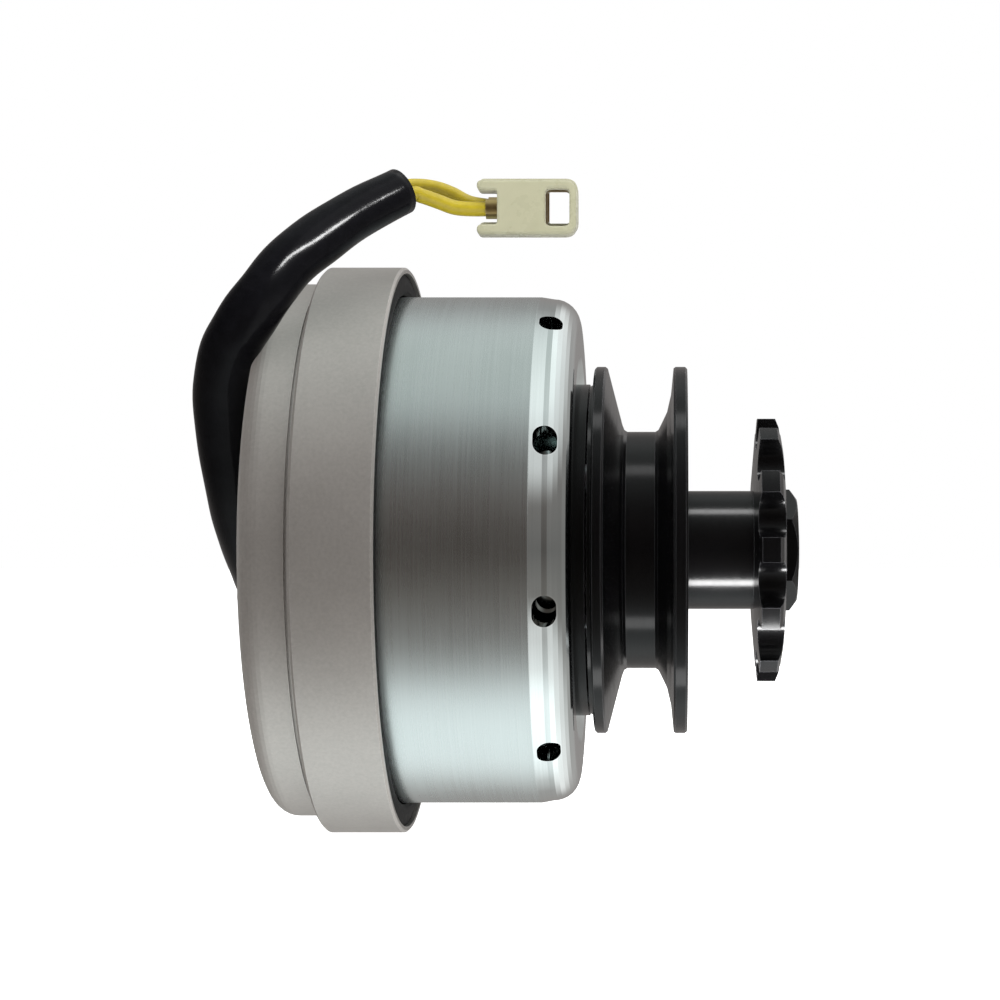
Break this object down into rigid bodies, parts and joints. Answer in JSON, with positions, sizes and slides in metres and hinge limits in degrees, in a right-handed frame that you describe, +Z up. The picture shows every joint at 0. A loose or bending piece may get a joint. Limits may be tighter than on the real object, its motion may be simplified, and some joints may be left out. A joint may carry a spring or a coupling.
{
  "type": "electromagnetic clutch",
  "caption": "Round electromagnetic clutch: cast housing, plated drum, grooved belt pulley on its own bearing, keyed shaft with chain sprocket, and a short lead with flag terminals.",
  "frame": {"origin": "centre of the mounting-hole circle on the flat back face", "axes": "+X along the shaft, from the back face towards the nut; +Z up, the side that the lead stands on; +Y away from the lead"},
  "size_m": [0.1139, 0.112, 0.1278],
  "materials": {
    "cast_aluminium": "satin",
    "steel_screw": "satin",
    "rubber_black": "matte",
    "iron_core": "matte",
    "nylon": "matte",
    "copper_winding": "gloss",
    "resin": "matte",
    "bearing_steel": "gloss",
    "cage_brass": "satin",
    "plated_steel": "satin",
    "friction_lining": "matte",
    "shaft_steel": "satin",
    "black_oxide": "gloss",
    "spring_steel": "satin",
    "vinyl_black": "gloss",
    "wire_yellow": "gloss",
    "terminal_brass": "satin",
    "boot_vinyl": "satin"
  },
  "bodies": {
    "field": {"back_cover": "cast_aluminium", "lead_outlet": "cast_aluminium", "field_ring": "cast_aluminium", "cover_screws": "steel_screw", "dust_seal": "rubber_black", "magnet_core": "iron_core", "coil_bobbin": "nylon", "coil_winding": "copper_winding", "coil_cap": "resin", "rear_bearing_outer": "bearing_steel", "rear_bearing_seals": "rubber_black", "rear_circlip": "spring_steel", "lead_grommet": "rubber_black", "lead_sleeve": "vinyl_black", "lead_wires": "wire_yellow", "wire_terminals": "terminal_brass", "terminal_boots": "boot_vinyl"},
    "rotor": {"rotor_drum": "plated_steel", "friction_ring": "friction_lining", "main_shaft": "shaft_steel", "rotor_key": "shaft_steel", "sprocket_key": "shaft_steel", "inner_spacer": "shaft_steel", "rear_bearing_inner": "bearing_steel", "pulley_bearing_inner": "bearing_steel", "sprocket": "black_oxide", "lock_washer": "black_oxide", "shaft_nut": "black_oxide"},
    "rear_cage": {"rear_bearing_balls": "bearing_steel", "rear_bearing_cage": "cage_brass"},
    "pulley": {"pulley": "black_oxide", "pulley_shield": "black_oxide", "pulley_bearing_outer": "bearing_steel", "pulley_bearing_seals": "rubber_black", "pulley_circlip": "spring_steel", "leaf_springs": "spring_steel", "spring_rivets": "spring_steel"},
    "pulley_cage": {"pulley_bearing_balls": "bearing_steel", "pulley_bearing_cage": "cage_brass"},
    "armature": {"armature_plate": "black_oxide", "armature_rivets": "spring_steel"}
  },
  "joints": [
    {"name": "rotor_spin", "type": "hinge", "parent": "field", "child": "rotor", "pos_m": [0, 0, 0], "axis": [1, 0, 0], "continuous": true},
    {"name": "rear_cage_spin", "type": "hinge", "parent": "field", "child": "rear_cage", "pos_m": [0, 0, 0], "axis": [1, 0, 0], "continuous": true},
    {"name": "pulley_spin", "type": "hinge", "parent": "rotor", "child": "pulley", "pos_m": [0, 0, 0], "axis": [1, 0, 0], "continuous": true},
    {"name": "pulley_cage_spin", "type": "hinge", "parent": "rotor", "child": "pulley_cage", "pos_m": [0, 0, 0], "axis": [1, 0, 0], "continuous": true},
    {"name": "armature_pull", "type": "slide", "parent": "pulley", "child": "armature", "axis": [-1, 0, 0], "range_m": [0, 0.00038], "stiffness_N_per_m": 2000}
  ],
  "couplings": [
    {"joint": "rear_cage_spin", "follows": "rotor_spin", "ratio": 0.3865},
    {"joint": "pulley_cage_spin", "follows": "pulley_spin", "ratio": 0.6135}
  ]
}
